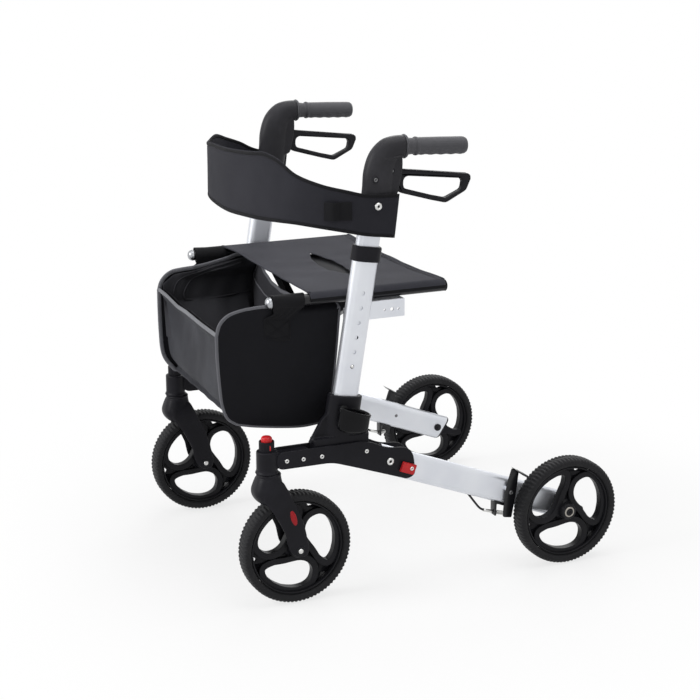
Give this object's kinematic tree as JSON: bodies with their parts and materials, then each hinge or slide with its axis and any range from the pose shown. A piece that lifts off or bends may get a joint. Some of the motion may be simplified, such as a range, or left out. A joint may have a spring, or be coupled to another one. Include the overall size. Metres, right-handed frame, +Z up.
{
  "type": "folding walker",
  "caption": "Folding walker on swivelling front and braked rear wheels, with seat, bag, backrest band, height-set handles and side fold.",
  "frame": {"origin": "on the floor, at the centre of the part's bounding box seen from above", "axes": "+Z up, +Y to the rear where the user walks, +X to the user's left"},
  "size_m": [0.6016, 0.7253, 0.7983],
  "materials": {
    "silver_tube": "satin anodised",
    "black_plastic": "fine-grained moulded nylon",
    "wheel_plastic": "satin moulded nylon",
    "tyre_rubber": "ribbed matt tread",
    "grip_rubber": "soft matt",
    "black_steel": "gloss black powder coat",
    "bright_steel": "zinc plated",
    "red_plastic": "glossy",
    "cable_sheath": "smooth black sheath",
    "seat_cloth": "coated woven nylon",
    "bag_cloth": "woven nylon with grey binding",
    "backrest_cloth": "padded laminated cloth"
  },
  "bodies": {
    "left_frame": {"left_side_plate_outer": "black_plastic", "left_side_plate_inner": "black_plastic", "left_base_socket": "black_plastic", "left_post_tube": "silver_tube", "left_post_collar": "black_plastic", "left_caster_housing": "black_plastic", "left_seat_bracket": "silver_tube"},
    "right_frame": {"right_side_plate_outer": "black_plastic", "right_side_plate_inner": "black_plastic", "right_base_socket": "black_plastic", "right_post_tube": "silver_tube", "right_post_collar": "black_plastic", "right_caster_housing": "black_plastic", "right_seat_bracket": "silver_tube"},
    "brace_a": {"brace_a": "black_steel", "right_seat_rail": "black_steel"},
    "brace_b": {"brace_b": "black_steel", "brace_pivot": "bright_steel", "left_seat_rail": "black_steel"},
    "seat_cloth": {"seat_fabric": "seat_cloth", "bag": "bag_cloth"},
    "left_handle": {"left_handle_tube": "silver_tube", "left_handle_body": "black_plastic", "left_hand_grip": "grip_rubber", "backrest": "backrest_cloth"},
    "left_snap": {"left_snap_button": "bright_steel"},
    "left_lever": {"left_brake_lever": "black_plastic"},
    "left_caster": {"left_caster_fork": "black_plastic", "left_caster_axle": "bright_steel"},
    "left_front_wheel": {"left_caster_wheel": "wheel_plastic", "left_caster_tyre": "tyre_rubber"},
    "left_caster_button": {"left_caster_button": "red_plastic"},
    "left_rear_leg": {"left_rear_leg": "silver_tube", "left_rear_axle": "bright_steel", "left_leg_end_plug": "black_plastic", "left_brake_bracket": "black_steel", "left_brake_cable": "cable_sheath"},
    "left_brake_arm": {"left_brake_arm": "black_steel"},
    "left_rear_wheel": {"left_rear_wheel": "wheel_plastic", "left_rear_tyre": "tyre_rubber"},
    "left_latch": {"left_latch": "red_plastic"},
    "right_handle": {"right_handle_tube": "silver_tube", "right_handle_body": "black_plastic", "right_hand_grip": "grip_rubber"},
    "right_snap": {"right_snap_button": "bright_steel"},
    "right_lever": {"right_brake_lever": "black_plastic"},
    "right_caster": {"right_caster_fork": "black_plastic", "right_caster_axle": "bright_steel"},
    "right_front_wheel": {"right_caster_wheel": "wheel_plastic", "right_caster_tyre": "tyre_rubber"},
    "right_caster_button": {"right_caster_button": "red_plastic"},
    "right_rear_leg": {"right_rear_leg": "silver_tube", "right_rear_axle": "bright_steel", "right_leg_end_plug": "black_plastic", "right_brake_bracket": "black_steel", "right_brake_cable": "cable_sheath"},
    "right_brake_arm": {"right_brake_arm": "black_steel"},
    "right_rear_wheel": {"right_rear_wheel": "wheel_plastic", "right_rear_tyre": "tyre_rubber"},
    "right_latch": {"right_latch": "red_plastic"}
  },
  "joints": [
    {"name": "frame_fold", "type": "hinge", "parent": "left_frame", "child": "brace_a", "pos_m": [0.215, -0.1275, 0.3], "axis": [0, 1, 0], "range_deg": [0, 42.8], "deforming": ["seat_fabric", "bag", "backrest"]},
    {"name": "brace_cross", "type": "hinge", "parent": "brace_a", "child": "brace_b", "pos_m": [0, -0.1275, 0.41446], "axis": [0, 1, 0], "range_deg": [-86, 0.4]},
    {"name": "right_foot", "type": "hinge", "parent": "brace_b", "child": "right_frame", "pos_m": [-0.215, -0.1275, 0.3], "axis": [0, 1, 0], "range_deg": [-0.2, 43]},
    {"name": "seat_level", "type": "hinge", "parent": "brace_b", "child": "seat_cloth", "pos_m": [0.202, -0.2515, 0.522], "axis": [0, 1, 0], "range_deg": [-0.2, 43]},
    {"name": "left_handle_height", "type": "slide", "parent": "left_frame", "child": "left_handle", "axis": [0, 0.1564, 0.9877], "range_m": [0, 0.127], "deforming": ["left_snap_button"]},
    {"name": "left_snap_press", "type": "slide", "parent": "left_handle", "child": "left_snap", "axis": [-1, 0, 0], "range_m": [0, 0.004], "stiffness_N_per_m": 300},
    {"name": "left_brake_squeeze", "type": "hinge", "parent": "left_handle", "child": "left_lever", "pos_m": [0.24, -0.0755, 0.738], "axis": [1, 0, 0], "range_deg": [0, 11], "stiffness_Nm_per_rad": 2.5, "springref_deg": -5.73},
    {"name": "left_caster_swivel", "type": "hinge", "parent": "left_frame", "child": "left_caster", "pos_m": [0.246, -0.298, 0.261], "axis": [0, 0, 1], "continuous": true},
    {"name": "left_front_wheel_spin", "type": "hinge", "parent": "left_caster", "child": "left_front_wheel", "pos_m": [0.246, -0.2515, 0.1], "axis": [1, 0, 0], "continuous": true},
    {"name": "left_caster_release", "type": "slide", "parent": "left_frame", "child": "left_caster_button", "axis": [0, 0, -1], "range_m": [0, 0.0045], "stiffness_N_per_m": 400, "springref_m": -0.001},
    {"name": "left_leg_fold", "type": "hinge", "parent": "left_frame", "child": "left_rear_leg", "pos_m": [0.246, -0.0805, 0.233], "axis": [1, 0, 0], "range_deg": [0, 103]},
    {"name": "left_rear_wheel_spin", "type": "hinge", "parent": "left_rear_leg", "child": "left_rear_wheel", "pos_m": [0.28055, 0.2635, 0.1], "axis": [1, 0, 0], "continuous": true},
    {"name": "left_brake_arm_turn", "type": "hinge", "parent": "left_rear_leg", "child": "left_brake_arm", "pos_m": [0.246, 0.1535, 0.149], "axis": [-1, 0, 0], "range_deg": [-0.1, 8.9]},
    {"name": "left_latch_slide", "type": "slide", "parent": "left_frame", "child": "left_latch", "axis": [0, -0.9327, 0.3606], "range_m": [0, 0.006], "stiffness_N_per_m": 500, "springref_m": -0.001},
    {"name": "right_handle_height", "type": "slide", "parent": "right_frame", "child": "right_handle", "axis": [0, 0.1564, 0.9877], "range_m": [-0.0005, 0.1275], "deforming": ["right_snap_button"]},
    {"name": "right_snap_press", "type": "slide", "parent": "right_handle", "child": "right_snap", "axis": [1, 0, 0], "range_m": [0, 0.004], "stiffness_N_per_m": 300},
    {"name": "right_brake_squeeze", "type": "hinge", "parent": "right_handle", "child": "right_lever", "pos_m": [-0.24, -0.0755, 0.738], "axis": [1, 0, 0], "range_deg": [0, 11], "stiffness_Nm_per_rad": 2.5, "springref_deg": -5.73},
    {"name": "right_caster_swivel", "type": "hinge", "parent": "right_frame", "child": "right_caster", "pos_m": [-0.246, -0.298, 0.261], "axis": [0, 0, 1], "continuous": true},
    {"name": "right_front_wheel_spin", "type": "hinge", "parent": "right_caster", "child": "right_front_wheel", "pos_m": [-0.246, -0.2515, 0.1], "axis": [1, 0, 0], "continuous": true},
    {"name": "right_caster_release", "type": "slide", "parent": "right_frame", "child": "right_caster_button", "axis": [0, 0, -1], "range_m": [0, 0.0045], "stiffness_N_per_m": 400, "springref_m": -0.001},
    {"name": "right_leg_fold", "type": "hinge", "parent": "right_frame", "child": "right_rear_leg", "pos_m": [-0.246, -0.0805, 0.233], "axis": [1, 0, 0], "range_deg": [0, 103]},
    {"name": "right_rear_wheel_spin", "type": "hinge", "parent": "right_rear_leg", "child": "right_rear_wheel", "pos_m": [-0.28055, 0.2635, 0.1], "axis": [1, 0, 0], "continuous": true},
    {"name": "right_brake_arm_turn", "type": "hinge", "parent": "right_rear_leg", "child": "right_brake_arm", "pos_m": [-0.246, 0.1535, 0.149], "axis": [-1, 0, 0], "range_deg": [-0.1, 8.9]},
    {"name": "right_latch_slide", "type": "slide", "parent": "right_frame", "child": "right_latch", "axis": [0, -0.9327, 0.3606], "range_m": [0, 0.006], "stiffness_N_per_m": 500, "springref_m": -0.001}
  ],
  "couplings": [
    {"joint": "brace_cross", "follows": "frame_fold", "ratio": -2},
    {"joint": "right_foot", "follows": "frame_fold", "ratio": 1},
    {"joint": "seat_level", "follows": "frame_fold", "ratio": 1},
    {"joint": "left_brake_arm_turn", "follows": "left_brake_squeeze", "ratio": 0.8},
    {"joint": "right_brake_arm_turn", "follows": "right_brake_squeeze", "ratio": 0.8},
    {"joint": "right_handle_height", "follows": "left_handle_height", "ratio": 1}
  ]
}
